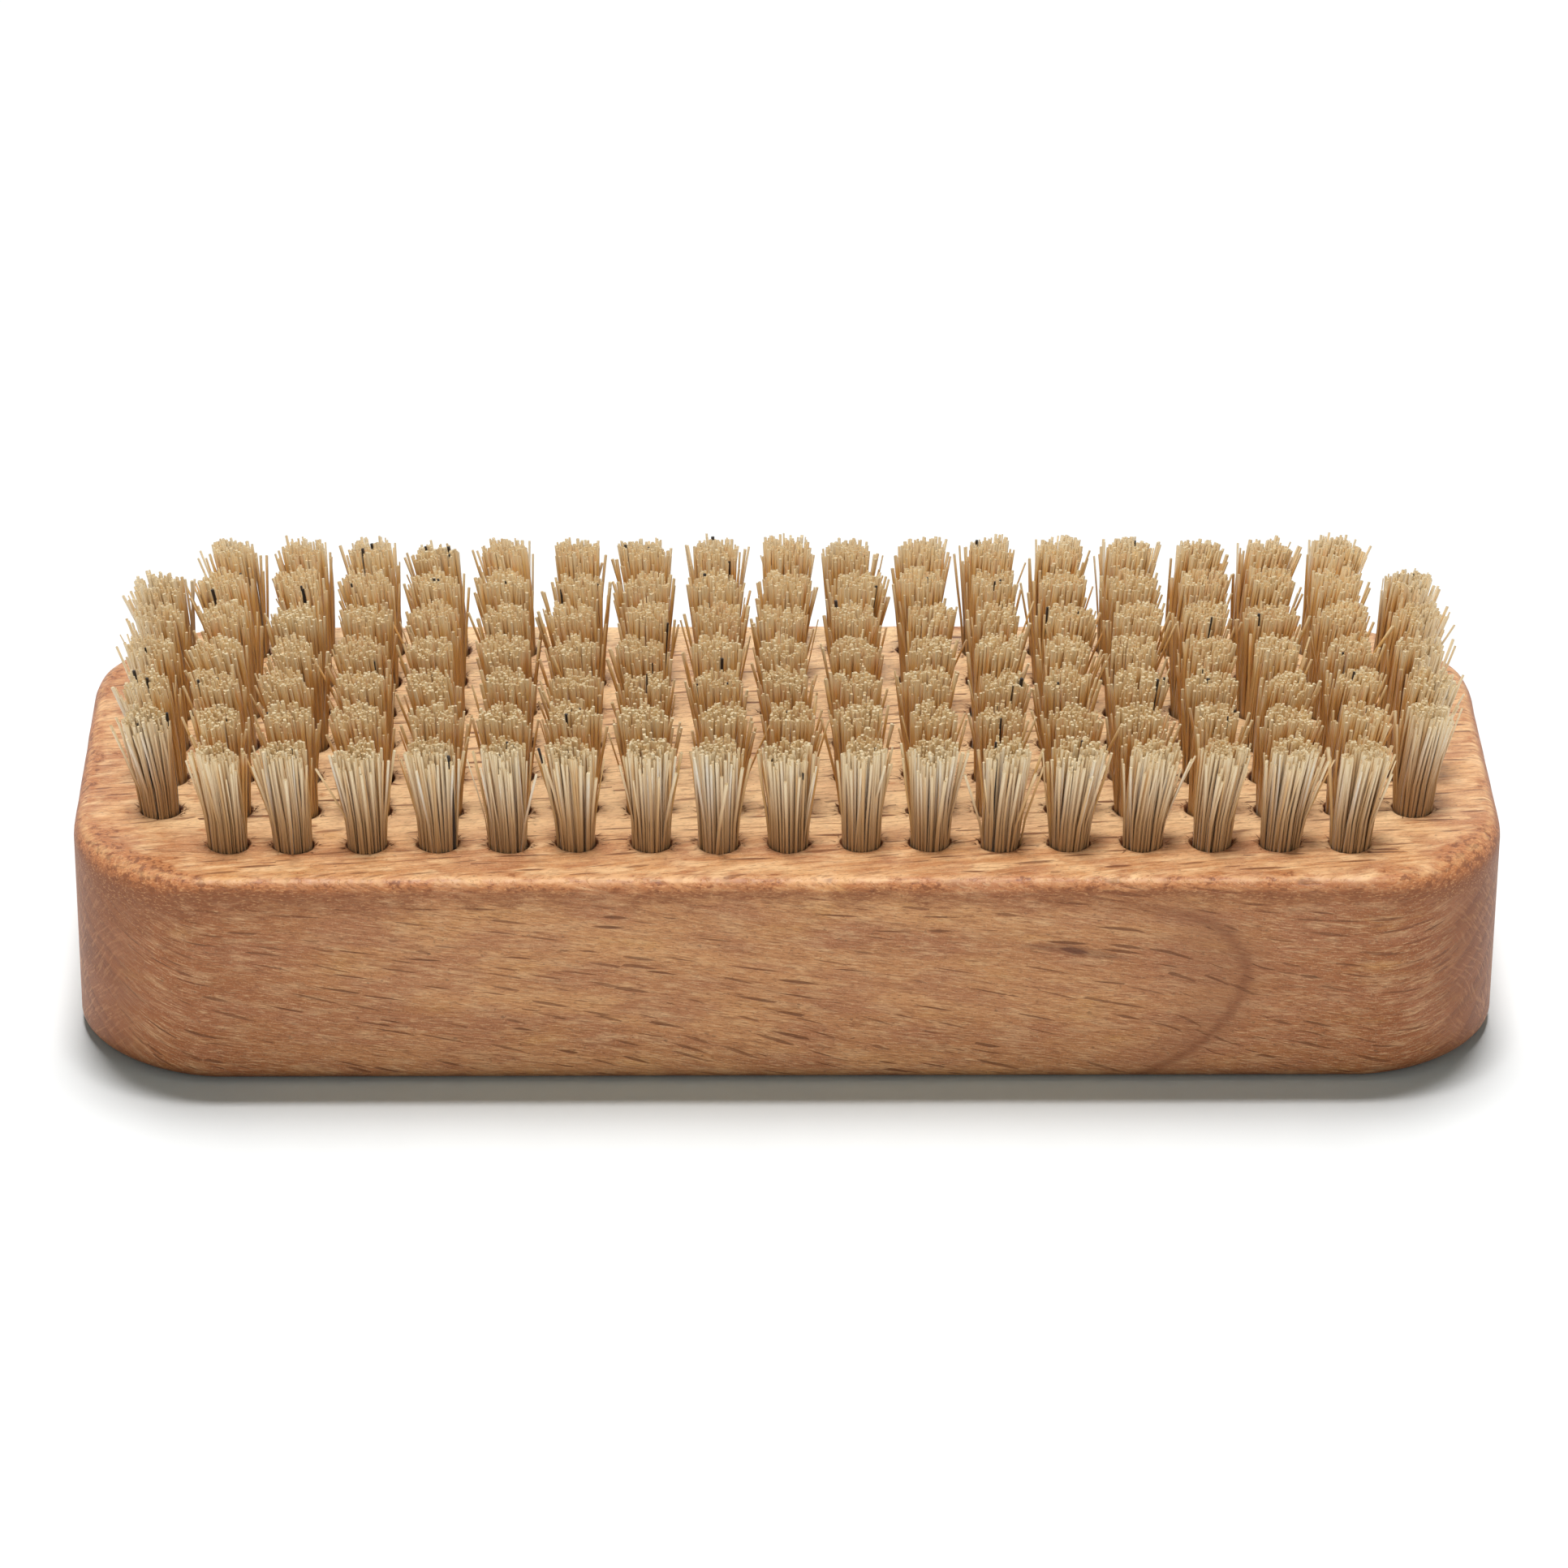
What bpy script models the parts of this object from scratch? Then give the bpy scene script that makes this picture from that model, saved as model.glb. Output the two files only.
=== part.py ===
"""Hand brush: a one-piece beech block with 129 tufts of natural bristle set in drilled blind holes.

The block's length runs along X and its width along Y, with the front long side at -Y. Its back
lies on the plane z = 0 and the bristles stand up along +Z. The origin is the middle of the back.

The tufts of one column, which runs across the block, stand on one slice of the block's own wood,
at the depth where their anchors sit. The slice lies in a slot that widens the bottoms of the
column's holes, so the drilled face stays as it is on the real brush.
"""
import math
import random

import bmesh
import bpy
from mathutils import Matrix, Vector

MM = 0.001

# Beech block
BLOCK_LENGTH = 120.0 * MM
BLOCK_WIDTH = 48.0 * MM
BLOCK_THICKNESS = 19.0 * MM
CORNER_RADIUS = 12.0 * MM
FACE_ROUNDING = 1.3 * MM
BACK_ROUNDING = 1.1 * MM
CORNER_SEGMENTS = 12
ROUNDING_SEGMENTS = 3

# Pattern of the tufts, with margins from the block's sides to the outermost holes' axes
COLUMNS = 19
ROWS = 7
ROWS_SKIPPED_AT_ENDS = 1
END_MARGIN = 7.35 * MM
FRONT_MARGIN = 6.6 * MM
REAR_MARGIN = 5.7 * MM

# Drilled holes, with the hole's diameter measured across its flats
HOLE_DIAMETER = 3.9 * MM
HOLE_DEPTH = 10.0 * MM
HOLE_SIDES = 8

# Tufts
BRISTLE_HEIGHT = 9.4 * MM
TUFT_TOP_GAP = 1.05 * MM
END_LEAN = 1.5 * MM
SIDE_LEAN = 1.2 * MM
STRANDS_PER_TUFT = 3
LEAN_VARIATION = 0.15 * MM
TIP_VARIATION = 0.2 * MM
SPLAY_VARIATION_SHARE = 0.12

# Anchors: a short piece of flat wire at the foot of each tuft, set on edge across its hole
ANCHOR_WIRE_THICKNESS = 0.4 * MM
ANCHOR_WIRE_WIDTH = 1.6 * MM
ANCHOR_BITE = 0.3 * MM

# Slice of wood that the tufts of a column stand on
SLICE_THICKNESS = 1.0 * MM
SLICE_EDGE = 0.2 * MM
ROOT_SINK_SHARE = 0.6
ANCHOR_SINK_SHARE = 0.3

# Air between pieces that touch on the real brush, and how far a cutter runs past what it cuts
FIT_GAP = 0.3 * MM
OVERRUN = 1.0 * MM

# Sizes that follow from those above
COLUMN_PITCH = (BLOCK_LENGTH - 2 * END_MARGIN) / (COLUMNS - 1)
ROW_PITCH = (BLOCK_WIDTH - FRONT_MARGIN - REAR_MARGIN) / (ROWS - 1)
ROOT_DIAMETER = HOLE_DIAMETER - 2 * FIT_GAP
TUFT_TOP_DIAMETER = min(COLUMN_PITCH, ROW_PITCH) - TUFT_TOP_GAP
ANCHOR_LENGTH = HOLE_DIAMETER + 2 * ANCHOR_BITE
SLICE_WIDTH = ROOT_DIAMETER + 2 * SLICE_EDGE

# Heights above the back
FACE_HEIGHT = BLOCK_THICKNESS
HOLE_FLOOR_HEIGHT = FACE_HEIGHT - HOLE_DEPTH
SLICE_BOTTOM_HEIGHT = HOLE_FLOOR_HEIGHT + FIT_GAP
SLICE_TOP_HEIGHT = SLICE_BOTTOM_HEIGHT + SLICE_THICKNESS
ANCHOR_TOP_HEIGHT = SLICE_TOP_HEIGHT + ANCHOR_WIRE_WIDTH
SLOT_ROOF_HEIGHT = ANCHOR_TOP_HEIGHT + FIT_GAP
ROOT_TOP_HEIGHT = FACE_HEIGHT + FIT_GAP
TIP_HEIGHT = FACE_HEIGHT + BRISTLE_HEIGHT

SEED = 7
SHARP_ANGLE = math.radians(30)
BEECH_COLOUR = (0.62, 0.36, 0.20)
BRISTLE_COLOUR = (0.60, 0.46, 0.28)


def clear_scene():
    for old in list(bpy.data.objects):
        bpy.data.objects.remove(old, do_unlink=True)


def make_collection(name):
    collection = bpy.data.collections.new(name)
    bpy.context.scene.collection.children.link(collection)
    return collection


def make_material(name, colour, roughness, metallic=0.0):
    material = bpy.data.materials.new(name)
    material.use_nodes = True
    shader = material.node_tree.nodes["Principled BSDF"]
    shader.inputs["Base Color"].default_value = (*colour, 1.0)
    shader.inputs["Roughness"].default_value = roughness
    shader.inputs["Metallic"].default_value = metallic
    return material


def make_object(name, bm, collection, material=None):
    mesh = bpy.data.meshes.new(name)
    bm.to_mesh(mesh)
    bm.free()
    made = bpy.data.objects.new(name, mesh)
    collection.objects.link(made)
    if material is not None:
        mesh.materials.append(material)
    return made


def make_helper(name, bm, collection):
    """An object that only cuts or joins another one."""
    helper = make_object(name, bm, collection)
    helper.hide_render = True
    helper.display_type = "WIRE"
    return helper


def add_boolean(target, other, operation):
    boolean = target.modifiers.new(other.name, "BOOLEAN")
    boolean.object = other
    boolean.operation = operation


def add_box(bm, size, centre):
    matrix = Matrix.Translation(centre) @ Matrix.Diagonal((*size, 1.0))
    return bmesh.ops.create_cube(bm, size=1.0, matrix=matrix)["verts"]


def add_prism(bm, sides, radius, bottom, top, place, turn):
    """An upright prism with its corners on a circle of the given radius."""
    middle = Vector((place.x, place.y, (bottom + top) / 2))
    matrix = Matrix.Translation(middle) @ Matrix.Rotation(turn, 4, "Z")
    return bmesh.ops.create_cone(
        bm, cap_ends=True, segments=sides, radius1=radius, radius2=radius,
        depth=top - bottom, matrix=matrix)["verts"]


def column_x(column):
    return END_MARGIN + column * COLUMN_PITCH - BLOCK_LENGTH / 2


def row_y(row):
    return FRONT_MARGIN + row * ROW_PITCH - BLOCK_WIDTH / 2


def column_rows(column):
    """The rows that a column has a tuft in: the pattern's four corners have none."""
    skipped = ROWS_SKIPPED_AT_ENDS if column in (0, COLUMNS - 1) else 0
    return range(skipped, ROWS - skipped)


def tuft_lean(column, row):
    """How far a tuft's tip stands out from its hole: the outer tufts lean outwards."""
    along_share = 2 * column / (COLUMNS - 1) - 1
    across_share = 2 * row / (ROWS - 1) - 1
    return Vector((END_LEAN * along_share, SIDE_LEAN * across_share, 0.0))


def slice_span(column):
    """The front and rear ends of a column's slice, which carries the whole of each anchor."""
    rows = column_rows(column)
    return row_y(rows[0]) - ANCHOR_LENGTH / 2, row_y(rows[-1]) + ANCHOR_LENGTH / 2


def round_rim(bm, height, radius):
    """Rounds the edge that runs all round the block at the given height."""
    tolerance = FIT_GAP / 2
    rim = [edge for edge in bm.edges if all(abs(v.co.z - height) < tolerance for v in edge.verts)]
    bmesh.ops.bevel(
        bm, geom=rim, offset=radius, segments=ROUNDING_SEGMENTS, profile=0.5, affect="EDGES")


def make_block(parts, helpers, material):
    """The beech block: a rounded slab, drilled from its face, with a slot under each column."""
    bm = bmesh.new()
    middle = Vector((0.0, 0.0, BLOCK_THICKNESS / 2))
    add_box(bm, (BLOCK_LENGTH, BLOCK_WIDTH, BLOCK_THICKNESS), middle)
    upright = [edge for edge in bm.edges if edge.verts[0].co.xy == edge.verts[1].co.xy]
    bmesh.ops.bevel(
        bm, geom=upright, offset=CORNER_RADIUS, segments=CORNER_SEGMENTS, profile=0.5,
        affect="EDGES")
    round_rim(bm, FACE_HEIGHT, FACE_ROUNDING)
    round_rim(bm, 0.0, BACK_ROUNDING)
    block = make_object("beech_block", bm, parts, material)
    block.data.shade_smooth()
    block.data.set_sharp_from_angle(angle=SHARP_ANGLE)
    add_boolean(block, make_drill(helpers), "DIFFERENCE")
    add_boolean(block, make_slots(helpers), "DIFFERENCE")
    return block


def make_drill(helpers):
    """All the holes. Each one stops inside its column's slot, which makes its floor."""
    bm = bmesh.new()
    radius = HOLE_DIAMETER / 2 / math.cos(math.pi / HOLE_SIDES)
    bottom = (SLICE_BOTTOM_HEIGHT + SLOT_ROOF_HEIGHT) / 2
    for column in range(COLUMNS):
        for row in column_rows(column):
            place = Vector((column_x(column), row_y(row), 0.0))
            add_prism(
                bm, HOLE_SIDES, radius, bottom, FACE_HEIGHT + OVERRUN, place,
                math.pi / HOLE_SIDES)
    return make_helper("drill", bm, helpers)


def make_slots(helpers):
    """The slot that holds each column's slice and anchors, with air all round them."""
    bm = bmesh.new()
    width = SLICE_WIDTH + 2 * FIT_GAP
    height = SLOT_ROOF_HEIGHT - HOLE_FLOOR_HEIGHT
    for column in range(COLUMNS):
        front, rear = slice_span(column)
        centre = Vector((column_x(column), (front + rear) / 2, HOLE_FLOOR_HEIGHT + height / 2))
        add_box(bm, (width, rear - front + 2 * FIT_GAP, height), centre)
    return make_helper("slots", bm, helpers)


def part_into_strands(bm, cap):
    """Divides a root's top face into equal four-sided faces that meet at its middle."""
    middle = bmesh.ops.poke(bm, faces=[cap])["verts"][0]
    spokes = sorted(middle.link_edges, key=lambda edge: spoke_angle(edge, middle))
    bmesh.ops.dissolve_edges(bm, edges=spokes[::2])
    return list(middle.link_faces), middle.co.copy()


def spoke_angle(edge, middle):
    spoke = edge.other_vert(middle).co - middle.co
    return math.atan2(spoke.y, spoke.x)


def add_tuft(bm, place, lean, chance):
    """A root in its hole, whose top parts into strands that flare towards their cut tips."""
    bottom = SLICE_TOP_HEIGHT - ROOT_SINK_SHARE * SLICE_THICKNESS
    turn = chance.uniform(0.0, math.tau / STRANDS_PER_TUFT)
    verts = add_prism(
        bm, 2 * STRANDS_PER_TUFT, ROOT_DIAMETER / 2, bottom, ROOT_TOP_HEIGHT, place, turn)
    faces = {face for vert in verts for face in vert.link_faces}
    cap = max(faces, key=lambda face: face.calc_center_median().z)
    ends, middle = part_into_strands(bm, cap)
    splay = (TUFT_TOP_DIAMETER - ROOT_DIAMETER) / 2
    own_lean = lean + Vector((
        chance.uniform(-LEAN_VARIATION, LEAN_VARIATION),
        chance.uniform(-LEAN_VARIATION, LEAN_VARIATION), 0.0))
    for end in bmesh.ops.extrude_discrete_faces(bm, faces=ends)["faces"]:
        outward = (end.calc_center_median() - middle).normalized()
        share = 1 - chance.uniform(0.0, SPLAY_VARIATION_SHARE)
        rise = TIP_HEIGHT - ROOT_TOP_HEIGHT - chance.uniform(0.0, TIP_VARIATION)
        step = own_lean + outward * splay * share + Vector((0.0, 0.0, rise))
        bmesh.ops.translate(bm, vec=step, verts=end.verts)


def add_anchor(bm, place):
    """The flat wire on edge that the tuft is folded over, long enough to bite on both sides."""
    bottom = SLICE_TOP_HEIGHT - ANCHOR_SINK_SHARE * SLICE_THICKNESS
    centre = Vector((place.x, place.y, (bottom + ANCHOR_TOP_HEIGHT) / 2))
    add_box(bm, (ANCHOR_WIRE_THICKNESS, ANCHOR_LENGTH, ANCHOR_TOP_HEIGHT - bottom), centre)


def make_tuft_column(column, parts, helpers, material, chance):
    """The tufts of one column with their anchors, on their slice of the block's wood."""
    name = f"tuft_column_{column + 1:02d}"
    front, rear = slice_span(column)
    slice_bm = bmesh.new()
    slice_centre = Vector((0.0, (front + rear) / 2, SLICE_BOTTOM_HEIGHT + SLICE_THICKNESS / 2))
    add_box(slice_bm, (SLICE_WIDTH, rear - front, SLICE_THICKNESS), slice_centre)
    tufts_bm = bmesh.new()
    anchors_bm = bmesh.new()
    for row in column_rows(column):
        place = Vector((0.0, row_y(row), 0.0))
        add_tuft(tufts_bm, place, tuft_lean(column, row), chance)
        add_anchor(anchors_bm, place)
    made = make_object(name, slice_bm, parts, material)
    tufts = make_helper(f"{name}_tufts", tufts_bm, helpers)
    anchors = make_helper(f"{name}_anchors", anchors_bm, helpers)
    for placed in (made, tufts, anchors):
        placed.location.x = column_x(column)
    add_boolean(made, tufts, "UNION")
    add_boolean(made, anchors, "UNION")
    return made


def main():
    clear_scene()
    parts = make_collection("hand_brush")
    helpers = make_collection("helpers")
    beech = make_material("beech", BEECH_COLOUR, roughness=0.55)
    bristle = make_material("bristle", BRISTLE_COLOUR, roughness=0.6)
    chance = random.Random(SEED)
    brush = bpy.data.objects.new("hand_brush", None)
    parts.objects.link(brush)
    pieces = [make_block(parts, helpers, beech)]
    for column in range(COLUMNS):
        pieces.append(make_tuft_column(column, parts, helpers, bristle, chance))
    for piece in pieces:
        piece.parent = brush


main()
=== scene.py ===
# The looks of the hand brush: oiled beech, 129 tufts of cut bristle, a pale floor and soft light.
# Lengths are millimetres until they go into a mesh, which holds metres.
import math
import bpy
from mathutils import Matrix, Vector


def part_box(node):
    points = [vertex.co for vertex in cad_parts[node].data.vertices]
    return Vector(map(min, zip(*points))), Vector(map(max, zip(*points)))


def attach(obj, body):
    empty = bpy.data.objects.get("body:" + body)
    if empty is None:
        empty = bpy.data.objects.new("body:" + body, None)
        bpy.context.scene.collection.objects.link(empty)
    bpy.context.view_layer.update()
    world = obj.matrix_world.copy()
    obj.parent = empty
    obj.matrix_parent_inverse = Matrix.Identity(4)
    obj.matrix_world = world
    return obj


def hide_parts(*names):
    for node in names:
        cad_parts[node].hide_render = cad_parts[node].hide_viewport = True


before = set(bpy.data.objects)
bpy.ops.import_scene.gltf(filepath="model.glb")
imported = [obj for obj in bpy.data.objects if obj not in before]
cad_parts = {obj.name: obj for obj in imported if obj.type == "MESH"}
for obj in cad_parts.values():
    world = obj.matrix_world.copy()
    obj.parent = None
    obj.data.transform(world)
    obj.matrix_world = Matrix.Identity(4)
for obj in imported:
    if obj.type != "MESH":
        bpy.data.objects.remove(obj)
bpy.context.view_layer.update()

from types import SimpleNamespace

import bpy
import numpy as np
from mathutils import Matrix, Vector, noise
from mathutils.geometry import delaunay_2d_cdt

MM = 0.001
SEED = 11

# The block, measured from its CAD solid
BLOCK_LOW, BLOCK_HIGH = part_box("beech_block")
BLOCK_LENGTH = (BLOCK_HIGH.x - BLOCK_LOW.x) / MM
BLOCK_WIDTH = (BLOCK_HIGH.y - BLOCK_LOW.y) / MM
FACE_HEIGHT = BLOCK_HIGH.z / MM

# Its corners and rounded edges, and the shares by which wear and sanding change the roundings
CORNER_RADIUS = 12.0
FACE_ROUNDING = 1.3
BACK_ROUNDING = 1.1
CORNER_WEAR_SHARE = 0.6
SANDING_SHARE = 0.22
SANDING_SCALE = 0.35
FACE_BORDER = 0.7

# How strongly the edges are marked as rubbed, and how far below the face the mark fades
EDGE_MARK = 0.85
EDGE_MARK_LOST_ON_FACE = 0.40
EDGE_MARK_GAINED_AT_CORNERS = 0.45
BORDER_MARK_AT_CORNERS = 0.60
EDGE_FADE = 2.2

# How deep the rays, pores and fibres stand in the surface
RELIEF_DEPTH = 0.08

# The wood's sheets of fibres: how they fall towards the right and dip towards the front
FIBRE_SLOPE = 0.13
FIBRE_DIP = 0.75

# The growth ring that closes in an arc on the long side, a tilted ellipse, and the streak beside it
ARC_CENTRE = (22.0, 10.4)
ARC_REACH = (16.0, 9.1)
ARC_TILT = 0.25
ARC_TILTED_ABOUT = 38.0
STREAK_ALONG = 23.6
STREAK_HEIGHT = 12.0

# The pattern of holes in the block's face
COLUMNS = 19
ROWS = 7
ROWS_SKIPPED_AT_ENDS = 1
END_MARGIN = 7.35
FRONT_MARGIN = 6.6
REAR_MARGIN = 5.7
HOLE_DRIFT = 0.13
HOLE_RADIUS = 1.64
HOLE_DEPTH_SHOWN = 3.0
COLLAR_RADIUS = HOLE_RADIUS + 0.55

# A hole from its flat collar inwards: each ring's radius, rise over the face, tear and dark rim, the rim
# being painted shade, faint on the lip and full inside the hole
HOLE_RINGS = (
    (COLLAR_RADIUS, 0.0, 0.0, 0.0),
    (HOLE_RADIUS + 0.20, 0.03, 0.16, 0.25),
    (HOLE_RADIUS + 0.04, -0.03, 0.26, 0.8),
    (HOLE_RADIUS, -0.3, 0.0, 1.0),
    (HOLE_RADIUS, -HOLE_DEPTH_SHOWN, 0.0, 1.0),
)

# The slivers that the drill tore up at each side of a hole
SLIVERS = (4, 7)
SLIVER_TURN = 0.45
SLIVER_HALF_WIDTHS = (0.05, 0.10)
SLIVER_LENGTHS = (0.3, 1.1)
SLIVER_RISES = (0.12, 0.42)
SLIVER_THICKNESS = 0.12
SLIVER_SINK = 0.05
SLIVER_SETBACK = 0.2
SLIVER_TWIST = 3
# How dark each sliver's corners are, darkest at the root: the slivers' own colour and painted shade
SLIVER_RIM_AND_SHADE = (1.0, 1.0, 0.9, 0.5)

# One bristle, and the shares of its height at which its rings of points lie
BRISTLE_RADIUS = 0.102
BRISTLE_RADIUS_SPREAD = 0.025
BRISTLE_RADIUS_LIMITS = (0.05, 0.16)
BRISTLE_TIP_SHARE = 1.15
BRISTLE_SIDES = 5
BRISTLE_HEIGHT = 9.4
BRISTLE_TOP_LIMIT = BRISTLE_HEIGHT + 0.4
BRISTLE_ROOT_DEPTH = 1.6
HAIR_STATIONS = np.array((-BRISTLE_ROOT_DEPTH / BRISTLE_HEIGHT, 0.32, 0.66, 1.0))

# One tuft: its bundle at the hole, and how it flares and leans
BRISTLES_PER_TUFT = 205
BRISTLES_MORE_OR_LESS = 14
BUNDLE_RADIUS = 1.50
BUNDLE_DISORDER = 0.035
FLARED_RADIUS = 2.04
FLARE_SPREAD = 0.03
FLARE_POWER = 1.15
END_LEAN = 1.5
SIDE_LEAN = 1.2
REAR_LEAN_GAIN = 0.25
TUFT_TILT = 0.18

# How its hairs gather in locks, drift, fall short and stray
LOCKS_PER_TUFT = 16
LOCK_PULL = 0.30
LOCK_HEIGHT_DRIFT = 0.20
TIP_DRIFT = 0.13
BEND_DRIFT = 0.06
TIP_HEIGHT_DRIFT = 0.27
SHORT_SHARE = 0.08
SHORT_BY = 1.3
FRINGE_FROM = 0.80
FRINGE_SHARE = 0.33
FRINGE_REACH = 1.35
STRAY_SHARE = 0.016
STRAY_REACH = 2.5
STRAY_LEAST_SHARE = 0.35
BLACK_SHARE = 0.005
TUFT_TINT_SPREAD = 0.06
HAIR_TINT_SPREAD = 0.26

# The camera, fitted to the outline of the block and the rows of tufts in the photograph, and how far
# the middle of the block's face lies off its axis
PHOTO_SIDE_PIXELS = 1932
FOCAL_PIXELS = 8256.9
SENSOR_WIDTH = 36.0
CAMERA_ELEVATION = math.radians(27.878)
CAMERA_TURN = math.radians(0.987)
CAMERA_ROLL = math.radians(0.378)
CAMERA_DISTANCE = 568.1
AIM_OFFSET = Vector((0.146, 6.823, 0.0))

# The sky's strength, and each lamp's way towards the light, energy and angle in degrees
SKY_LEVEL = 0.12
BRUSH_LAMP = ((-0.05, -0.12, 1.0), 2.4, 12)
DOME_LAMP = ((0.0, 0.0, 1.0), 1.21, 180)
FLOOR_GLOW = ((0.0, 0.42, 1.0), 1.98, 22)
FLOOR_STRIP_LAMPS = 5
FLOOR_STRIP_STEP = 0.05
FLOOR_STRIP_TILT = 0.21
FLOOR_STRIP_ENERGY = 0.286
FLOOR_STRIP_ANGLE = 4

# The floor is this much less red than its lamps, which takes off the red that the wood throws on it
WARMTH_TAKEN_OFF_FLOOR = 0.80

# The floor's tone, and the little light of its own that it shows
FLOOR_TONE = 0.92
FLOOR_OWN_LIGHT = 0.02
FLOOR_HALF_WIDTH = 3000.0

# Display colours, 0 to 255
BEECH = SimpleNamespace(
    middle=(208, 149, 98),
    # Towards the ends: the wood's own pinker tone with painted shade, deeper at the right end
    left_end=(162, 97, 54),
    right_end=(152, 88, 46),
    years=(164, 101, 60),
    face_dark=(202, 144, 94),
    face_pale=(223, 173, 123),
    # Painted light: the face among the tufts, much paler than the wood
    painted_light_among_tufts=(255, 220, 168),
    pink_clouds=(172, 111, 75),
    golden_clouds=(208, 152, 88),
    # Painted sheen: pale patches for the gloss of the oiled wood
    satin=(240, 198, 148),
    grit=(238, 200, 156),
    light_fibres=(236, 194, 146),
    dark_fibres=(142, 84, 46),
    dark_threads=(146, 88, 48),
    pores=(112, 64, 34),
    inside_arc=(152, 100, 66),
    arc=(130, 74, 40),
    streak=(92, 46, 24),
    fine_rays=(126, 74, 38),
    rays=(114, 66, 33),
    grain_lines=(140, 84, 44),
    end_grain=(132, 80, 48),
    smudges=(104, 76, 50),
    end_dots=(88, 50, 28),
    late_wood=(106, 60, 34),
    pale_rays=(200, 142, 96),
    rubbed_wall=(138, 79, 41),
    rubbed_top=(180, 113, 65),
    rubbed_pale=(232, 176, 122),
    rubbed_dark=(132, 76, 40),
    specks=(120, 66, 32),
    # Painted highlight on the crest of the rounding
    crest_highlight=(232, 184, 126),
    # Painted shade in and round the holes, and the slivers' darkness
    rim_and_shade=(96, 54, 28),
)
BRISTLE = SimpleNamespace(
    cream_dark=(240, 202, 146),
    cream=(254, 235, 198),
    cream_pale=(255, 251, 236),
    # Painted light: the golden glow of light passing among the inner hairs
    painted_glow_dark=(246, 180, 94),
    painted_glow=(255, 216, 138),
    painted_glow_pale=(255, 238, 190),
    # Lower hairs and roots: painted shade with some dirt, golden inside the brush
    shaded_lower_inside=(226, 177, 104),
    shaded_lower_outside=(186, 143, 91),
    root=(142, 106, 66),
    streak=(214, 172, 118),
    tip=(252, 231, 190),
    cut_dark=(180, 154, 112),
    cut_pale=(214, 196, 160),
    black=(38, 30, 26),
)


def linear(red, green, blue):
    """A display colour, 0 to 255, as the linear values that a shader takes"""
    shares = [channel / 255 for channel in (red, green, blue)]
    return tuple(s / 12.92 if s <= 0.04045 else ((s + 0.055) / 1.055) ** 2.4 for s in shares)


def column_x(column):
    """Place of a column of tufts along the block"""
    pitch = (BLOCK_LENGTH - 2 * END_MARGIN) / (COLUMNS - 1)
    return END_MARGIN + column * pitch - BLOCK_LENGTH / 2


def row_y(row):
    """Place of a row of tufts across the block, row 0 at the front"""
    pitch = (BLOCK_WIDTH - FRONT_MARGIN - REAR_MARGIN) / (ROWS - 1)
    return FRONT_MARGIN + row * pitch - BLOCK_WIDTH / 2


def rows_of(column):
    """Rows that a column has: the end columns stop short of the block's corners"""
    at_end = column in (0, COLUMNS - 1)
    skipped = ROWS_SKIPPED_AT_ENDS if at_end else 0
    return range(skipped, ROWS - skipped)


def drilled_holes():
    """Centre of each hole, keyed by column and row, with the small drift of the drill"""
    rng = np.random.default_rng(SEED)
    holes = {}
    for column in range(COLUMNS):
        for row in rows_of(column):
            drift = rng.normal(0, HOLE_DRIFT, 2).clip(-2 * HOLE_DRIFT, 2 * HOLE_DRIFT)
            holes[column, row] = (column_x(column) + drift[0], row_y(row) + drift[1])
    return holes


HOLES = drilled_holes()


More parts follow.
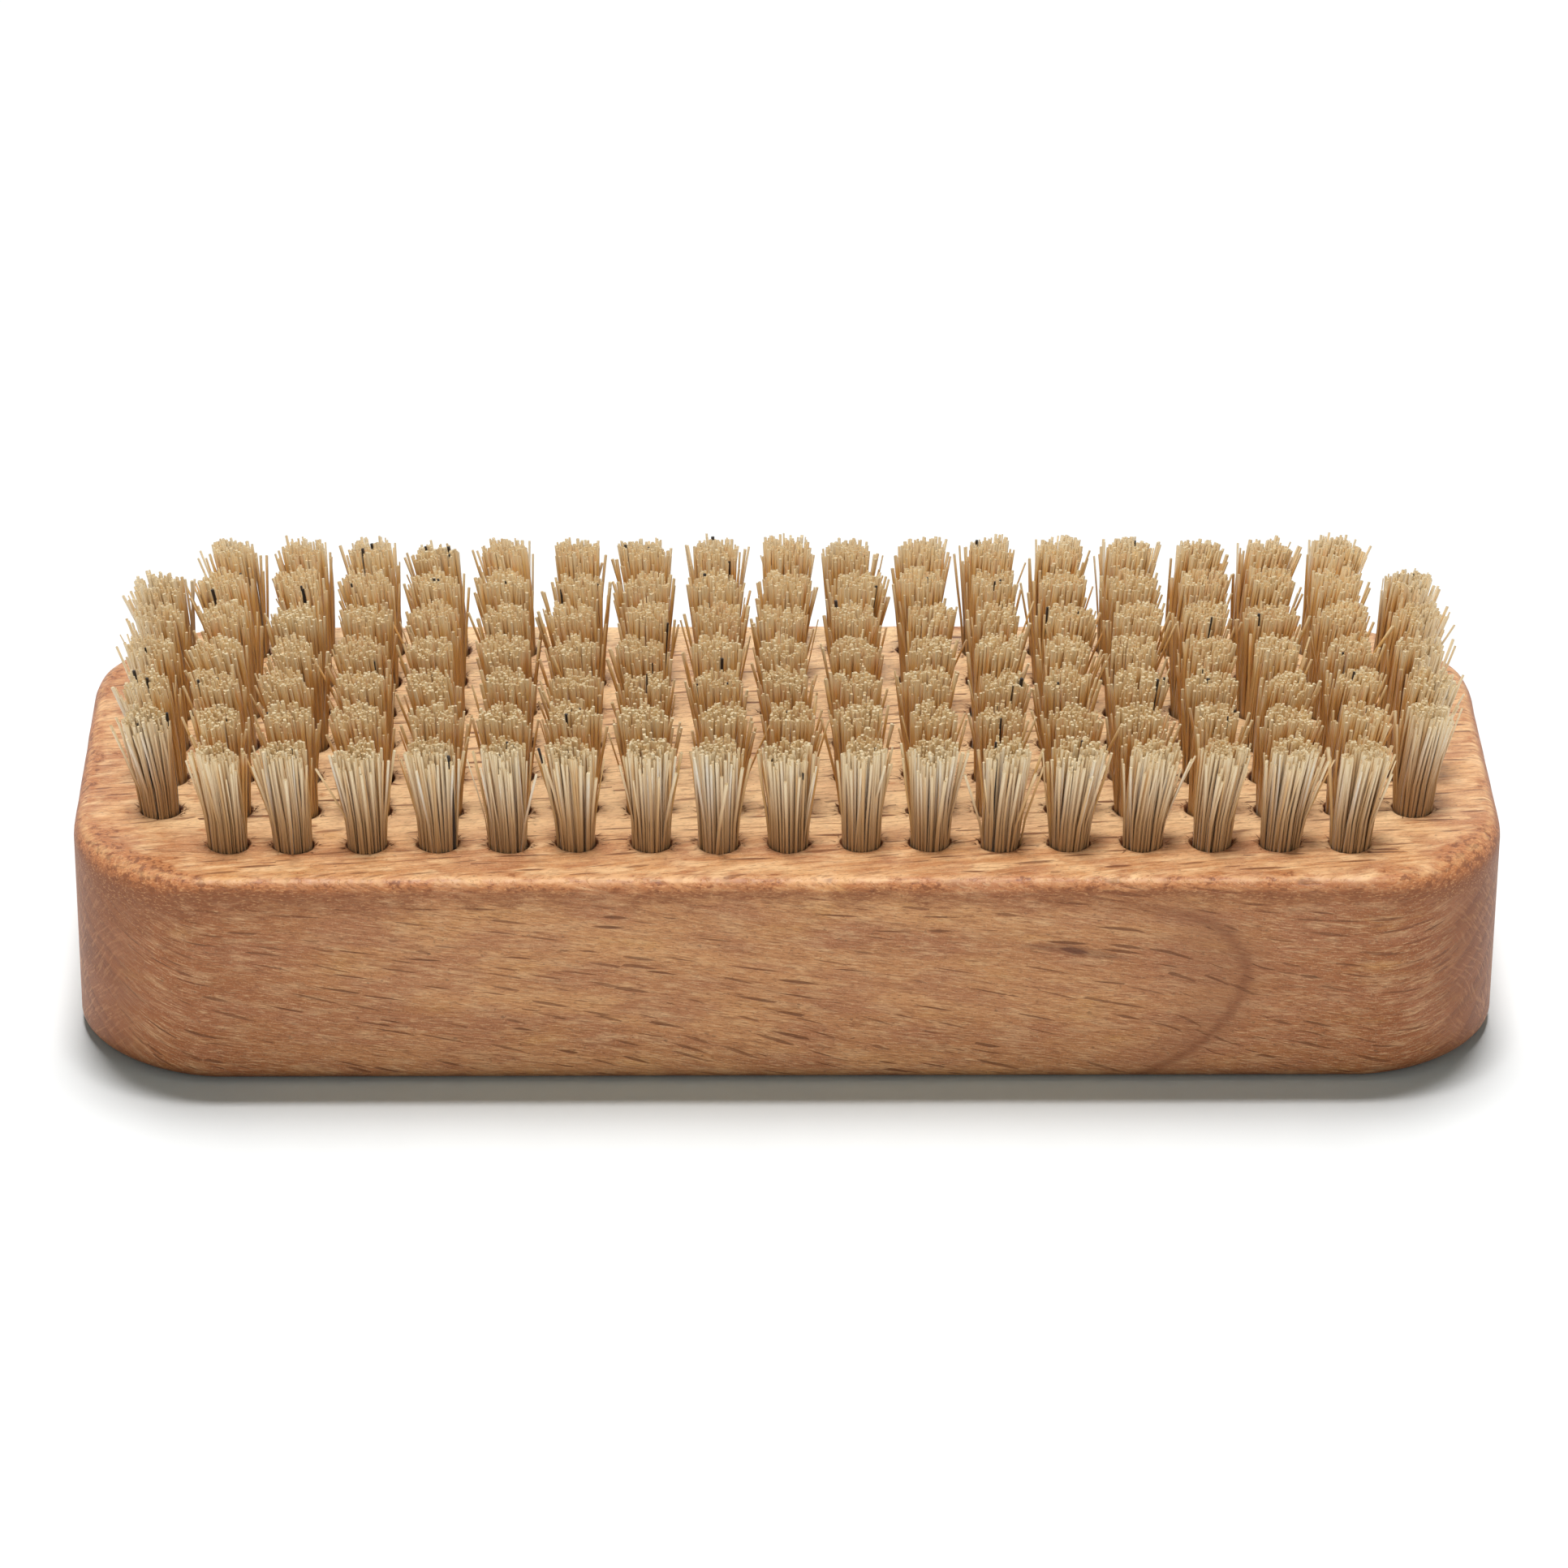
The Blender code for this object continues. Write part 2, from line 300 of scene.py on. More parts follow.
class Graph:
    """Adds shader nodes to one node tree, each wired as it is made"""

    def __init__(self, tree):
        self.tree = tree

    def feed(self, socket, value):
        if isinstance(value, bpy.types.NodeSocket):
            self.tree.links.new(value, socket)
        else:
            socket.default_value = value

    def add(self, kind, *values, **settings):
        node = self.tree.nodes.new("ShaderNode" + kind)
        for name, value in settings.items():
            setattr(node, name, value)
        for socket, value in zip(node.inputs, values):
            self.feed(socket, value)
        return node

    def maths(self, operation, *values):
        return self.add("Math", *values, operation=operation).outputs[0]

    def times(self, a, b):
        return self.maths("MULTIPLY", a, b)

    def scaled(self, value, factor, added):
        """The value times the factor, with something added"""
        return self.maths("MULTIPLY_ADD", value, factor, added)

    def magnitude(self, value):
        """The value without its sign"""
        return self.maths("ABSOLUTE", value)

    def stirred(self, value, pattern, reach):
        """The value moved up and down by a pattern that runs from 0 to 1"""
        return self.scaled(self.maths("SUBTRACT", pattern, 0.5), reach, value)

    def vector(self, operation, *values):
        return self.add("VectorMath", *values, operation=operation).outputs[0]

    def dot(self, a, b):
        return self.add("VectorMath", a, b, operation="DOT_PRODUCT").outputs["Value"]

    def shrink(self, place, sizes):
        """The place counted in steps of these sizes, so that a pattern's grain has them"""
        return self.vector("DIVIDE", place, sizes)

    def noise(self, place, sizes, detail=2.0, roughness=0.5):
        node = self.add("TexNoise")
        self.feed(node.inputs["Vector"], self.shrink(place, sizes))
        self.feed(node.inputs["Scale"], 1.0)
        self.feed(node.inputs["Detail"], detail)
        self.feed(node.inputs["Roughness"], roughness)
        return node.outputs[0]

    def cells(self, place, sizes):
        """Way from the middle of the cell that a place lies in, and the cell's three random shares"""
        counted = self.shrink(place, sizes)
        node = self.add("TexVoronoi")
        self.feed(node.inputs["Vector"], counted)
        self.feed(node.inputs["Scale"], 1.0)
        way = self.vector("SUBTRACT", counted, node.outputs["Position"])
        chances = self.add("SeparateColor", node.outputs["Color"]).outputs
        return self.vector("MULTIPLY", way, sizes), (chances["Red"], chances["Green"], chances["Blue"])

    def split(self, place):
        """The x, y and z of a place"""
        return tuple(self.add("SeparateXYZ", place).outputs)

    def join(self, x, y, z):
        """The place with this x, y and z"""
        return self.add("CombineXYZ", x, y, z).outputs[0]

    def lens(self, *ways):
        """1 in a lens whose half-lengths are given beside each way from its middle, fading to 0"""
        roundness = 1.5
        full_within = 0.45
        reach = 0.0
        for way, half in ways:
            share = self.maths("DIVIDE", self.magnitude(way), half)
            reach = self.maths("ADD", self.maths("POWER", share, roundness), reach)
        return self.between(reach, full_within, 1.0, 1.0, 0.0)

    def between(self, value, low, high, to_low=0.0, to_high=1.0):
        """A smooth step of value from low to high"""
        node = self.add("MapRange", value, low, high, to_low, to_high)
        node.interpolation_type = "SMOOTHSTEP"
        return node.outputs[0]

    def mix(self, share, a, b):
        """Colour a with a share of colour b over it, each a socket or a display colour"""
        node = self.add("Mix", share, data_type="RGBA")
        sockets = [socket for socket in node.inputs if socket.type == "RGBA"]
        for socket, colour in zip(sockets, (a, b)):
            made = isinstance(colour, bpy.types.NodeSocket)
            self.feed(socket, colour if made else (*linear(*colour), 1.0))
        return next(socket for socket in node.outputs if socket.type == "RGBA")

    def attribute(self, name):
        return self.add("Attribute", attribute_name=name).outputs["Fac"]

    def place(self):
        """Object coordinates in millimetres"""
        coordinates = self.add("TexCoord").outputs["Object"]
        return self.vector("DIVIDE", coordinates, (MM, MM, MM))

    def bump(self, height, distance, strength):
        node = self.add("Bump")
        self.feed(node.inputs["Height"], height)
        self.feed(node.inputs["Distance"], distance)
        self.feed(node.inputs["Strength"], strength)
        return node.outputs["Normal"]


def new_material(name):
    """A material with its graph and its surface shader"""
    material = bpy.data.materials.new(name)
    material.use_nodes = True
    graph = Graph(material.node_tree)
    return material, graph, material.node_tree.nodes["Principled BSDF"]


def beech_grain(graph, place):
    """The place with the gentle meander that grain has"""
    meander = graph.maths("SUBTRACT", graph.noise(place, (24.0, 14.0, 9.0), detail=1.0), 0.5)
    shift = graph.vector("MULTIPLY", (0.0, 3.0, 3.6), meander)
    return graph.vector("ADD", place, shift)


def beech_layers(graph, grain):
    """Places in which the third number counts the sheets of fibres, which dip to the front"""
    along, across, _ = graph.split(grain)
    return graph.join(along, across, graph.dot(grain, (FIBRE_SLOPE, -FIBRE_DIP, 1.0)))


def ray_flecks(graph, grain, slope, cell, half_length, half_depth, half_thickness):
    """Beech's dark rays: a thin lens in each cell, along the grain and dipping to the front"""
    least_share, spread_share = 0.6, 0.8
    way, (first, second, third) = graph.cells(grain, cell)
    along, across, up = graph.split(way)
    tilt = graph.scaled(first, 0.14, slope)
    off_sheet = graph.scaled(along, tilt, graph.scaled(across, -FIBRE_DIP, up))
    down_sheet = graph.scaled(up, FIBRE_DIP, across)
    length = graph.scaled(third, spread_share * half_length, least_share * half_length)
    thickness = graph.scaled(second, spread_share * half_thickness, least_share * half_thickness)
    shape = graph.lens((along, length), (down_sheet, half_depth), (off_sheet, thickness))
    return graph.times(shape, graph.scaled(first, -0.35, 1.0))


def closing_arc(graph, grain):
    """The growth ring that closes in an arc near the right end, and the space just inside the arc"""
    along, across, up = graph.split(grain)
    right = graph.maths("DIVIDE", graph.maths("SUBTRACT", along, ARC_CENTRE[0]), ARC_REACH[0])
    level = graph.scaled(graph.maths("SUBTRACT", along, ARC_TILTED_ABOUT), -ARC_TILT, up)
    high = graph.maths("DIVIDE", graph.maths("SUBTRACT", level, ARC_CENTRE[1]), ARC_REACH[1])
    squares = graph.scaled(right, right, graph.times(high, high))
    off = graph.maths("SUBTRACT", graph.maths("SQRT", squares), 1.0)
    near_front = graph.between(across, -14.0, 10.0, 1.0, 0.0)

    half_width = graph.between(right, 0.3, 1.0, 0.085, 0.065)
    band = graph.between(graph.magnitude(off), 0.0, half_width, 1.0, 0.0)
    band = graph.times(band, graph.between(right, -0.2, 0.75))
    inside = graph.times(graph.between(off, -0.6, -0.1), graph.between(off, 0.0, 0.2, 1.0, 0.0))
    inside = graph.times(inside, graph.between(right, 0.3, 0.8))
    return graph.times(band, near_front), graph.times(inside, near_front)


def dark_streak(graph, grain):
    """The short dark streak of the growth ring's heart, left of the arc"""
    middle = (STREAK_ALONG, -BLOCK_WIDTH / 2, STREAK_HEIGHT)
    along, across, up = graph.split(graph.vector("SUBTRACT", grain, middle))
    level = graph.scaled(along, FIBRE_SLOPE, up)
    tail = graph.lens((along, 5.5), (across, 3.0), (level, 0.5))
    heart = graph.lens((along, 1.5), (across, 3.0), (level, 0.28))
    return graph.scaled(tail, 0.4, graph.times(heart, 0.45))


def grain_lines(graph, grain):
    """Long thin dark lines that run with the grain over the face"""
    way, (first, second, _) = graph.cells(grain, (15.0, 1.7, 40.0))
    along, across, _ = graph.split(way)
    bowed = graph.scaled(along, graph.scaled(second, 0.06, -0.03), across)
    line = graph.lens((along, graph.scaled(first, 4.0, 3.0)), (bowed, 0.085))
    return graph.times(line, graph.between(second, 0.25, 0.75))


def end_marks(graph, grain):
    """The marks of the block's ends: growth rings, darker to one side, and thin pale rays across them"""
    along, _, _ = graph.split(grain)
    in_sheet = graph.dot(grain, (0.0, 1.0, FIBRE_DIP))
    level = graph.dot(grain, (0.0, -FIBRE_DIP, 1.0))
    place = graph.join(along, in_sheet, level)
    pale = graph.between(graph.noise(place, (3.0, 0.28, 2.0), detail=1.0), 0.52, 0.66)
    drift = graph.noise(place, (40.0, 16.0, 5.0), detail=1.0)
    years_counted = graph.scaled(level, 0.38, graph.times(drift, 2.6))
    year = graph.maths("FRACT", years_counted)
    late = graph.times(graph.between(year, 0.25, 0.90), graph.between(year, 0.93, 1.0, 1.0, 0.0))
    return late, pale


def wood_patterns(graph):
    """What the layers of the beech draw on: places, the side of the block, and patterns of 0 to 1"""
    wood = SimpleNamespace()
    wood.place = graph.place()
    wood.along, wood.across, wood.up = graph.split(wood.place)
    wood.grain = beech_grain(graph, wood.place)
    wood.layers = beech_layers(graph, wood.grain)

    endwise, _, wood.facing = graph.split(graph.add("NewGeometry").outputs["Normal"])
    wood.on_face = graph.between(wood.facing, 0.60, 0.95)
    wood.end_grain = graph.between(graph.magnitude(endwise), 0.35, 0.95)
    wood.long_grain = graph.between(wood.end_grain, 0.0, 0.8, 1.0, 0.10)

    wood.fibres = graph.noise(wood.layers, (1.2, 1.6, 0.15), detail=2.0, roughness=0.7)
    wood.pores = graph.between(graph.noise(wood.layers, (0.50, 0.40, 0.07), detail=1.0), 0.58, 0.68)
    wood.satin = graph.noise(wood.layers, (3.4, 4.0, 0.8), detail=3.0)
    wood.grit = graph.noise(wood.place, (0.15, 0.15, 0.15), detail=1.0)
    wood.speckle = graph.noise(wood.place, (0.45, 0.17, 0.14), detail=2.0, roughness=0.6)
    wood.strokes = graph.noise(wood.place, (1.7, 0.50, 0.42), detail=3.0)

    wood.arc, wood.inside_arc = closing_arc(graph, wood.grain)
    slope = graph.scaled(wood.inside_arc, 0.30, graph.between(wood.up, 2.0, 17.0, 0.20, 0.03))
    rays = ray_flecks(graph, wood.grain, slope, (3.8, 3.0, 1.10), 2.15, 2.3, 0.145)
    wood.rays = graph.times(rays, graph.between(wood.end_grain, 0.0, 1.0, 1.0, 0.2))
    fine_rays = ray_flecks(graph, wood.grain, slope, (3.0, 2.6, 0.95), 1.15, 1.4, 0.09)
    wood.fine_rays = graph.times(fine_rays, wood.long_grain)
    return wood


def wood_tone(graph, wood):
    """Broad tones: darker to the ends, partly painted shade; paler on the face, with painted light among the
    tufts; clouded
    """
    # Darker towards the ends: partly the wood's own pinker tone, partly painted shade, deeper at the right
    # end
    ends = graph.mix(graph.between(wood.along, 40.0, 56.0), BEECH.left_end, BEECH.right_end)
    end_share = graph.between(graph.magnitude(wood.along), 24.0, 54.0)
    colour = graph.mix(end_share, BEECH.middle, ends)
    years = graph.noise(wood.layers, (60.0, 12.0, 3.4), detail=3.0)
    colour = graph.mix(graph.between(years, 0.36, 0.64, 0.0, 0.50), colour, BEECH.years)

    strands = graph.noise(wood.layers, (16.0, 9.0, 0.34), detail=2.0)
    face = graph.mix(graph.between(strands, 0.35, 0.65), BEECH.face_dark, BEECH.face_pale)
    # Painted light: the face between and behind the tufts is made much paler, and its pink clouds fainter,
    # where the tufts' shade falls
    short_of_ends = graph.between(graph.magnitude(wood.along), 50.0, 56.0, 0.75, 0.0)
    painted_light_among_tufts = graph.times(graph.between(wood.across, -18.5, -13.0), short_of_ends)
    face = graph.mix(painted_light_among_tufts, face, BEECH.painted_light_among_tufts)
    colour = graph.mix(wood.on_face, colour, face)

    clouds = graph.noise(wood.grain, (7.0, 5.0, 2.4), detail=3.0)
    clouded = graph.scaled(graph.times(painted_light_among_tufts, wood.on_face), -0.55, 1.0)
    pink_clouds = graph.times(graph.between(clouds, 0.44, 0.64, 0.0, 0.60), clouded)
    colour = graph.mix(pink_clouds, colour, BEECH.pink_clouds)
    return graph.mix(graph.between(clouds, 0.22, 0.42, 0.55, 0.0), colour, BEECH.golden_clouds)


def with_fibres(graph, wood, colour):
    """The fine marks along the grain: painted sheen in pale patches, strongest on the face, then grit,
    fibres, threads and pores
    """
    # Painted sheen: pale patches stand in for the satin gloss, stronger on the face
    satin = graph.between(wood.satin, 0.48, 0.68)
    satin = graph.times(satin, graph.between(wood.on_face, 0.0, 1.0, 0.25, 0.80))
    colour = graph.mix(graph.times(satin, wood.long_grain), colour, BEECH.satin)
    grit = graph.times(graph.between(wood.grit, 0.55, 0.75, 0.0, 0.30), wood.long_grain)
    colour = graph.mix(grit, colour, BEECH.grit)
    softer = graph.times(graph.between(wood.on_face, 0.0, 1.0, 0.75, 0.45), wood.long_grain)
    light_fibres = graph.times(graph.between(wood.fibres, 0.50, 0.72, 0.0, 0.62), softer)
    colour = graph.mix(light_fibres, colour, BEECH.light_fibres)
    dark_fibres = graph.times(graph.between(wood.fibres, 0.28, 0.50, 0.55, 0.0), softer)
    colour = graph.mix(dark_fibres, colour, BEECH.dark_fibres)
    threads = graph.noise(wood.layers, (6.0, 5.0, 0.22), detail=2.0)
    dark_threads = graph.times(graph.between(threads, 0.54, 0.68, 0.0, 0.34), wood.long_grain)
    colour = graph.mix(dark_threads, colour, BEECH.dark_threads)
    return graph.mix(graph.times(wood.pores, 0.30), colour, BEECH.pores)


def with_figure(graph, wood, colour):
    """The marks that the eye follows: the arc and its streak, the rays, and the face's grain lines"""
    colour = graph.mix(graph.times(wood.inside_arc, 0.45), colour, BEECH.inside_arc)
    arc = graph.times(wood.arc, graph.between(wood.satin, 0.35, 0.60, 0.35, 0.62))
    colour = graph.mix(arc, colour, BEECH.arc)
    colour = graph.mix(dark_streak(graph, wood.grain), colour, BEECH.streak)
    colour = graph.mix(graph.times(wood.fine_rays, 0.45), colour, BEECH.fine_rays)
    colour = graph.mix(graph.times(wood.rays, 0.90), colour, BEECH.rays)
    lines = graph.times(grain_lines(graph, wood.grain), wood.on_face)
    return graph.mix(graph.times(lines, 0.60), colour, BEECH.grain_lines)


def with_end_grain(graph, wood, colour):
    """The darker ends with their dots, growth rings and pale rays, and a few smudges all over"""
    colour = graph.mix(graph.times(wood.end_grain, 0.45), colour, BEECH.end_grain)
    smudges = graph.between(graph.noise(wood.place, (0.55, 0.55, 0.38), detail=3.0), 0.66, 0.74, 0.0, 0.45)
    colour = graph.mix(smudges, colour, BEECH.smudges)
    dots = graph.times(wood.end_grain, graph.between(wood.grit, 0.52, 0.68, 0.0, 0.40))
    colour = graph.mix(dots, colour, BEECH.end_dots)
    late_wood, pale_rays = end_marks(graph, wood.grain)
    late_wood = graph.times(late_wood, wood.end_grain)
    colour = graph.mix(graph.times(late_wood, 0.50), colour, BEECH.late_wood)
    pale_rays = graph.times(pale_rays, wood.end_grain)
    return graph.mix(graph.times(pale_rays, 0.42), colour, BEECH.pale_rays)


def with_rubbed_edges(graph, wood, colour):
    """The darker, ragged band of the rounded edges, its specks, and pale strokes on its crest as a painted
    highlight
    """
    worn = graph.noise(wood.place, (3.4, 2.4, 2.4), detail=3.0)
    ragged = graph.stirred(graph.attribute("edge"), wood.speckle, 0.8)
    ragged = graph.stirred(ragged, wood.strokes, 1.3)
    ragged = graph.scaled(graph.between(wood.along, -50.0, -28.0, 1.0, 0.0), 0.30, ragged)
    ragged = graph.stirred(ragged, worn, graph.between(wood.facing, 0.05, 0.60, 0.9, 2.6))
    rubbed = graph.mix(graph.between(wood.facing, 0.10, 0.70), BEECH.rubbed_wall, BEECH.rubbed_top)
    rubbed = graph.mix(graph.between(wood.speckle, 0.52, 0.68, 0.0, 0.45), rubbed, BEECH.rubbed_pale)
    rubbed = graph.mix(graph.between(wood.speckle, 0.36, 0.50, 0.60, 0.0), rubbed, BEECH.rubbed_dark)
    colour = graph.mix(graph.between(ragged, 0.30, 1.00, 0.0, 0.85), colour, rubbed)

    mottle = graph.noise(wood.place, (0.7, 0.7, 0.5), detail=3.0, roughness=0.65)
    specks = graph.times(graph.between(ragged, 0.6, 1.0), graph.between(mottle, 0.49, 0.60, 0.0, 0.80))
    specks = graph.times(specks, graph.between(wood.facing, 0.05, 0.35))
    colour = graph.mix(specks, colour, BEECH.specks)
    # Painted highlight: pale strokes along the crest of the rounding, where it turns from the face
    on_crest = graph.between(wood.facing, 0.93, 0.999, 1.0, 0.0)
    on_crest = graph.times(graph.between(wood.facing, 0.60, 0.85), on_crest)
    crest_highlight = graph.times(on_crest, graph.between(wood.strokes, 0.36, 0.60, 0.30, 0.0))
    return graph.mix(crest_highlight, colour, BEECH.crest_highlight)


def with_hole_rims(graph, wood, colour):
    """Painted shade inside every hole and on its lip, and the darkened torn slivers, broken up by speckle"""
    rim_and_shade = graph.times(graph.attribute("rim_and_shade"), graph.between(wood.speckle, 0.25, 0.60, 0.5, 1.0))
    return graph.mix(rim_and_shade, colour, BEECH.rim_and_shade)


def oiled_beech():
    """Beech with its rays, fibres, growth rings and the rubbed colour of its rounded edges"""
    material, graph, shader = new_material("oiled_beech")
    wood = wood_patterns(graph)
    colour = wood_tone(graph, wood)
    for add_layer in (with_fibres, with_figure, with_end_grain, with_rubbed_edges, with_hole_rims):
        colour = add_layer(graph, wood, colour)
    graph.feed(shader.inputs["Base Color"], colour)
    graph.feed(shader.inputs["Roughness"], graph.scaled(wood.fibres, 0.30, 0.32))
    shader.inputs["Specular IOR Level"].default_value = 0.35

    relief = graph.scaled(wood.rays, -0.5, graph.times(wood.fibres, wood.long_grain))
    relief = graph.scaled(wood.pores, -0.4, relief)
    graph.feed(shader.inputs["Normal"], graph.bump(relief, RELIEF_DEPTH * MM, 0.8))
    return material


def hair_tone(graph, tint, dark, middle, pale, pale_from):
    """A hair's own tone, from dark over middle to pale as its tint goes from 0 to 1"""
    tone = graph.mix(graph.between(tint, 0.0, 0.45), dark, middle)
    return graph.mix(graph.between(tint, pale_from, 1.0), tone, pale)


def cut_bristle():
    """Bristle with each hair's own cream tint; inside the brush a painted golden glow stands in for light
    passing among the hairs, and painted shade darkens them towards the root
    """
    material, graph, shader = new_material("cut_bristle")
    tint = graph.attribute("tint")
    along = graph.attribute("along")
    outside = graph.attribute("outside")
    cut = graph.attribute("cut")
    streak = graph.noise(graph.place(), (0.07, 0.07, 2.2), detail=1.0)

    cream = hair_tone(graph, tint, BRISTLE.cream_dark, BRISTLE.cream, BRISTLE.cream_pale, 0.55)
    # Painted light: hairs inside the brush take a golden glow in place of their cream
    painted_glow = hair_tone(graph, tint, BRISTLE.painted_glow_dark, BRISTLE.painted_glow, BRISTLE.painted_glow_pale, 0.60)
    colour = graph.mix(outside, painted_glow, cream)
    # Painted shade with some dirt: darker and more golden down the hair, golden most inside the brush
    lower = graph.mix(outside, BRISTLE.shaded_lower_inside, BRISTLE.shaded_lower_outside)
    golden_to = graph.scaled(outside, -0.43, 0.70)
    colour = graph.mix(graph.between(along, golden_to, 1.0, 0.88, 0.0), colour, lower)
    # Painted shade at the root of each hair, stronger on the outer hairs
    root = graph.times(graph.between(along, 0.0, 0.50, 0.75, 0.0), graph.scaled(outside, 0.4, 0.6))
    colour = graph.mix(root, colour, BRISTLE.root)
    colour = graph.mix(graph.between(streak, 0.35, 0.7, 0.0, 0.18), colour, BRISTLE.streak)
    colour = graph.mix(graph.between(along, 0.82, 0.98, 0.0, 0.65), colour, BRISTLE.tip)
    end = graph.mix(graph.between(tint, 0.35, 0.95), BRISTLE.cut_dark, BRISTLE.cut_pale)
    colour = graph.mix(cut, colour, end)
    colour = graph.mix(graph.attribute("black"), colour, BRISTLE.black)
    graph.feed(shader.inputs["Base Color"], colour)

    rough = graph.scaled(streak, 0.20, graph.scaled(cut, 0.45, 0.30))
    graph.feed(shader.inputs["Roughness"], rough)
    shader.inputs["Sheen Weight"].default_value = 0.20
    shader.inputs["Sheen Roughness"].default_value = 0.4
    shader.inputs["Sheen Tint"].default_value = (1.0, 0.94, 0.84, 1.0)
    return material


def outline():
    """The block's outline anticlockwise: its spots, the way out at each, and how far round a corner"""
    corner_steps = 24
    side_step = 1.0
    reach = np.array((BLOCK_LENGTH / 2 - CORNER_RADIUS, BLOCK_WIDTH / 2 - CORNER_RADIUS))
    spots, ways_out, bends = [], [], []
    for corner, signs in enumerate(((1, -1), (1, 1), (-1, 1), (-1, -1))):
        turns = math.radians(90) * (corner - 1 + np.linspace(0, 1, corner_steps + 1))
        out = np.stack([np.cos(turns), np.sin(turns)], axis=1)
        arc = reach * signs + CORNER_RADIUS * out
        side = 2 * reach[1 - corner % 2]
        steps = round(side / side_step)
        ahead = np.array((-out[-1, 1], out[-1, 0]))
        straight = arc[-1] + np.outer(side * np.arange(1, steps) / steps, ahead)
        spots += [arc, straight]
        ways_out += [out, np.broadcast_to(out[-1], straight.shape)]
        bends += [np.sin(2 * (turns - turns[0])), np.zeros(len(straight))]
    return np.concatenate(spots), np.concatenate(ways_out), np.concatenate(bends)


def block_rings():
    """The block's rings of points from its back to its face, each with its edge mark"""
    back_steps, wall_steps, face_steps = 6, 14, 9
    spots, ways_out, bends = outline()
    sanded = np.array([noise.noise(Vector((*spot, 0.0)) * SANDING_SCALE) for spot in spots])
    back_radius = BACK_ROUNDING * (1 + CORNER_WEAR_SHARE * bends)
    face_radius = FACE_ROUNDING * (1 + CORNER_WEAR_SHARE * bends + SANDING_SHARE * sanded)

    def ring(inset, height):
        flat = spots - ways_out * inset[:, None]
        return np.column_stack([flat, np.broadcast_to(height, len(flat))])

    rings = []
    for turn in np.radians(np.linspace(0, 90, back_steps + 1)):
        height = back_radius * (1 - math.cos(turn))
        rings.append((ring(back_radius * (1 - math.sin(turn)), height), EDGE_MARK * math.cos(turn)))
    for share in np.arange(1, wall_steps) / wall_steps:
        height = back_radius + (FACE_HEIGHT - face_radius - back_radius) * share
        below = (FACE_HEIGHT - face_radius - height) / EDGE_FADE
        rings.append((ring(np.zeros(len(spots)), height), EDGE_MARK * np.exp(-below)))
    for turn in np.radians(np.linspace(0, 90, face_steps + 1)):
        height = FACE_HEIGHT - face_radius * (1 - math.sin(turn))
        mark = EDGE_MARK - EDGE_MARK_LOST_ON_FACE * math.sin(turn) ** 2
        mark = mark + EDGE_MARK_GAINED_AT_CORNERS * bends
        rings.append((ring(face_radius * (1 - math.cos(turn)), height), mark))
    rings.append((ring(face_radius + FACE_BORDER, FACE_HEIGHT), BORDER_MARK_AT_CORNERS * bends))
    return rings


def hole_ring(centre, radius, height, tear):
    """One ring of points round a hole, torn outwards where the drill crossed the grain's ends"""
    sides = 24
    tear_narrowness = 6
    least_chance = 0.45
    wobble_share = 0.25
    rise_share = 0.3
    points = []
    for step in range(sides):
        turn = math.tau * step / sides
        x, y = math.cos(turn), math.sin(turn)
        # Each hole reads its own stretch of the noise
        chance = noise.noise(Vector((centre[0] * 3 + x, centre[1] * 3 + y * 2, 0.0)))
        torn = max(tear * abs(x) ** tear_narrowness * (least_chance + chance), 0)
        wide = radius + torn + wobble_share * tear * chance
        points.append((centre[0] + wide * x, centre[1] + wide * y, height + rise_share * torn))
    return points


def inside_loop(spot, loop):
    """Whether a spot lies in a loop of points: a line to its right then crosses it an odd number of times"""
    start = loop - spot
    end = np.roll(loop, -1, axis=0) - spot
    crossed = (start[:, 1] > 0) != (end[:, 1] > 0)
    start, way = start[crossed], (end - start)[crossed]
    return np.count_nonzero(start[:, 0] > start[:, 1] * way[:, 0] / way[:, 1]) % 2 == 1


def face_field(centres, border):
    """Spots scattered over the face between the holes, which keep its triangles small and even"""
    grid_step, drift = 0.9, 0.2
    clear_of_collars, clear_of_border = 0.35, 0.65
    rng = np.random.default_rng(SEED + 1)
    field = []
    for x in np.arange(-BLOCK_LENGTH / 2, BLOCK_LENGTH / 2, grid_step):
        for y in np.arange(-BLOCK_WIDTH / 2, BLOCK_WIDTH / 2, grid_step):
            spot = np.array((x, y)) + rng.uniform(-drift, drift, 2)
            off_holes = np.hypot(*(centres - spot).T).min() > COLLAR_RADIUS + clear_of_collars
            off_border = np.hypot(*(border - spot).T).min() > clear_of_border
            if off_holes and off_border and inside_loop(spot, border):
                field.append((spot[0], spot[1], FACE_HEIGHT))
    return field


def face_triangles(points, flat, loops, centres, border):
    """The flat face's triangles, between its border and the holes' collars"""
    # A triangle across a collar has its middle within 0.978 of the radius, one outside it beyond 0.991
    inner_share = 0.985
    merging_distance = 1e-6
    order = {index: place for place, index in enumerate(flat)}
    bounds = [(order[a], order[b]) for loop in loops for a, b in zip(loop, loop[1:] + loop[:1])]
    flat_points = [Vector(points[index][:2]) for index in flat]
    made = delaunay_2d_cdt(flat_points, bounds, [], 1, merging_distance, True)
    triangles, sources = made[2], made[3]
    faces = []
    for triangle in triangles:
        corners = [flat[sources[corner][0]] for corner in triangle]
        middle = np.mean([points[corner][:2] for corner in corners], axis=0)
        over_hole = np.hypot(*(centres - middle).T).min() < inner_share * COLLAR_RADIUS
        if not over_hole and inside_loop(middle, border):
            faces.append(tuple(corners))
    return faces


